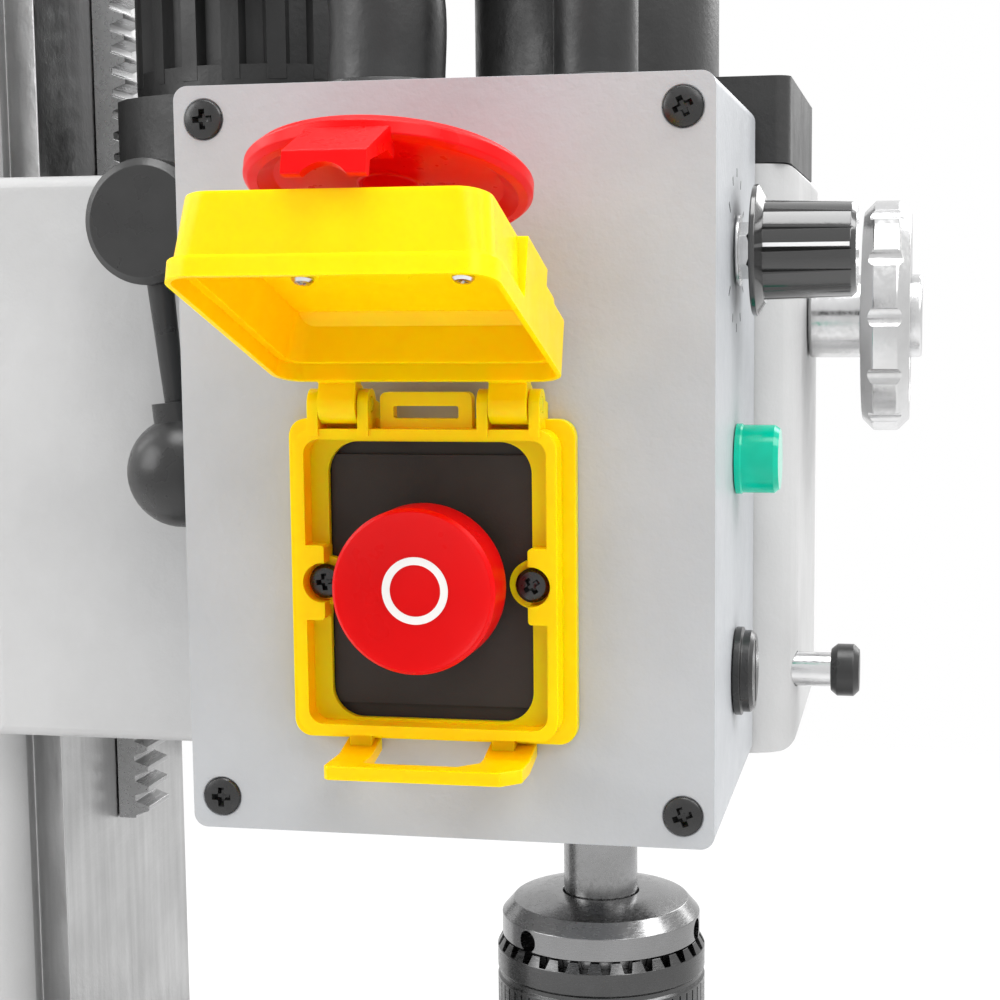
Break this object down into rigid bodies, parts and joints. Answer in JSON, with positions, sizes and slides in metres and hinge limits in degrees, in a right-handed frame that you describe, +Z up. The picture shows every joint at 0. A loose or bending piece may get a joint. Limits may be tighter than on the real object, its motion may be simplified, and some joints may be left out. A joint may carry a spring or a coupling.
{
  "type": "bench mill drill",
  "caption": "Bench drilling and milling machine: cross slide table, dovetail column, and a belt-driven head with chuck, motor and control box with a lidded stop switch.",
  "frame": {"origin": "on the underside of the base, straight below the spindle axis", "axes": "+X to the right of the operator, +Y from the operator to the column, +Z up along the spindle"},
  "size_m": [0.5067, 0.4956, 0.6572],
  "materials": {
    "cast_grey": "satin",
    "box_grey": "satin",
    "black_metal": "satin",
    "black_plastic": "satin",
    "yellow_plastic": "gloss",
    "red_plastic": "gloss",
    "green_lens": "gloss",
    "bright_steel": "ground",
    "dark_steel": "blackened",
    "ground_iron": "ground",
    "belt_rubber": "matte",
    "board_green": "matte"
  },
  "bodies": {
    "stand": {"base": "cast_grey", "column": "cast_grey", "column_cap": "black_plastic", "rack": "ground_iron", "front_bracket": "cast_grey"},
    "saddle": {"saddle": "cast_grey", "saddle_gib": "ground_iron"},
    "table": {"table": "ground_iron", "table_gib": "ground_iron", "table_end_left": "cast_grey", "table_end_right": "cast_grey"},
    "x_feed": {"x_screw": "bright_steel", "x_handwheel": "black_plastic"},
    "y_feed": {"y_screw": "bright_steel", "y_handwheel": "black_plastic"},
    "head": {"head_casting": "cast_grey", "head_gib": "ground_iron", "belt_housing": "black_metal", "drawbar_cap": "black_plastic", "motor": "black_metal", "motor_cowl": "black_plastic", "drive_belt": "belt_rubber", "spindle_bearing_lower": "bright_steel", "spindle_bearing_upper": "bright_steel", "motor_conduit": "black_plastic", "sensor_conduit": "black_plastic", "control_box": "box_grey", "control_box_cover": "box_grey", "cover_screw_1": "dark_steel", "cover_screw_2": "dark_steel", "cover_screw_3": "dark_steel", "cover_screw_4": "dark_steel", "potentiometer": "bright_steel", "lamp_body": "black_plastic", "lamp_lens": "green_lens", "fuse_holder": "black_plastic", "control_board": "board_green", "switch_body": "black_plastic", "switch_base": "yellow_plastic", "switch_screw_left": "dark_steel", "switch_screw_right": "dark_steel"},
    "spindle": {"spindle": "bright_steel", "spindle_pulley": "bright_steel", "chuck_body": "dark_steel"},
    "motor_drive": {"motor_pulley": "bright_steel"},
    "sleeve": {"chuck_sleeve": "dark_steel"},
    "jaw_1": {"chuck_jaw_1": "bright_steel"},
    "jaw_2": {"chuck_jaw_2": "bright_steel"},
    "jaw_3": {"chuck_jaw_3": "bright_steel"},
    "feed": {"feed_pinion": "bright_steel", "feed_spoke_1": "black_plastic", "feed_spoke_2": "black_plastic", "feed_spoke_3": "black_plastic"},
    "fine_feed": {"fine_feed_wheel": "bright_steel"},
    "clamp": {"clamp_screw": "black_plastic"},
    "lock_lever": {"head_lock_lever": "black_plastic"},
    "knob": {"speed_knob": "black_plastic"},
    "button": {"stop_button": "red_plastic"},
    "lid": {"switch_lid": "yellow_plastic"},
    "mushroom": {"lid_mushroom": "red_plastic"}
  },
  "joints": [
    {"name": "saddle_slide", "type": "slide", "parent": "stand", "child": "saddle", "axis": [0, 1, 0], "range_m": [-0.045, 0.045]},
    {"name": "y_wheel_turn", "type": "hinge", "parent": "stand", "child": "y_feed", "pos_m": [0, -0.163, 0.058], "axis": [0, 1, 0], "range_deg": [-8101, 8101]},
    {"name": "table_slide", "type": "slide", "parent": "saddle", "child": "table", "axis": [1, 0, 0], "range_m": [-0.11, 0.11]},
    {"name": "x_wheel_turn", "type": "hinge", "parent": "table", "child": "x_feed", "pos_m": [0.1996, 0, 0.1234], "axis": [1, 0, 0], "range_deg": [-19801, 19801]},
    {"name": "head_slide", "type": "slide", "parent": "stand", "child": "head", "axis": [0, 0, 1], "range_m": [-0.045, 0.125]},
    {"name": "feed_turn", "type": "hinge", "parent": "head", "child": "feed", "pos_m": [0, 0.12945, 0.4196], "axis": [1, 0, 0], "range_deg": [-596.84, 214.87]},
    {"name": "spindle_turn", "type": "hinge", "parent": "head", "child": "spindle", "pos_m": [0, 0, 0.4376], "axis": [0, 0, 1], "continuous": true},
    {"name": "motor_turn", "type": "hinge", "parent": "head", "child": "motor_drive", "pos_m": [0, 0.095, 0.518], "axis": [0, 0, 1], "continuous": true},
    {"name": "chuck_sleeve_turn", "type": "hinge", "parent": "spindle", "child": "sleeve", "pos_m": [0, 0, 0.262], "axis": [0, 0, 1], "range_deg": [-1200, 1200]},
    {"name": "jaw_1_slide", "type": "slide", "parent": "spindle", "child": "jaw_1", "axis": [-0.309, 0, -0.9511], "range_m": [-0.006, 0.006]},
    {"name": "jaw_2_slide", "type": "slide", "parent": "spindle", "child": "jaw_2", "axis": [0.1545, -0.2676, -0.9511], "range_m": [-0.006, 0.006]},
    {"name": "jaw_3_slide", "type": "slide", "parent": "spindle", "child": "jaw_3", "axis": [0.1545, 0.2676, -0.9511], "range_m": [-0.006, 0.006]},
    {"name": "fine_feed_turn", "type": "hinge", "parent": "head", "child": "fine_feed", "pos_m": [0, -0.0605, 0.4686], "axis": [0, 1, 0], "continuous": true},
    {"name": "clamp_screw_turn", "type": "hinge", "parent": "head", "child": "clamp", "pos_m": [-0.038, -0.0605, 0.3746], "axis": [0, 1, 0], "range_deg": [-180, 180]},
    {"name": "lock_lever_swing", "type": "hinge", "parent": "head", "child": "lock_lever", "pos_m": [-0.064, 0.1015, 0.4946], "axis": [1, 0, 0], "range_deg": [-6, 60]},
    {"name": "speed_knob_turn", "type": "hinge", "parent": "head", "child": "knob", "pos_m": [-0.098, -0.0495, 0.4851], "axis": [0, -1, 0], "range_deg": [-150, 150]},
    {"name": "stop_button_press", "type": "slide", "parent": "head", "child": "button", "axis": [1, 0, 0], "range_m": [0, 0.0025], "stiffness_N_per_m": 1200},
    {"name": "lid_swing", "type": "hinge", "parent": "head", "child": "lid", "pos_m": [-0.1496, 0.0129, 0.4518], "axis": [0, -1, 0], "range_deg": [0, 108]},
    {"name": "mushroom_press", "type": "slide", "parent": "lid", "child": "mushroom", "axis": [-0.309, 0, -0.9511], "range_m": [0, 0.004], "stiffness_N_per_m": 700}
  ],
  "couplings": [
    {"joint": "y_wheel_turn", "follows": "saddle_slide", "rad_per_m": 3141.6},
    {"joint": "x_wheel_turn", "follows": "table_slide", "rad_per_m": 3141.6},
    {"joint": "feed_turn", "follows": "head_slide", "rad_per_m": -83.333},
    {"joint": "motor_turn", "follows": "spindle_turn", "ratio": 1.7},
    {"joint": "jaw_1_slide", "follows": "chuck_sleeve_turn", "m_per_rad": 0.00028648},
    {"joint": "jaw_2_slide", "follows": "chuck_sleeve_turn", "m_per_rad": 0.00028648},
    {"joint": "jaw_3_slide", "follows": "chuck_sleeve_turn", "m_per_rad": 0.00028648}
  ]
}
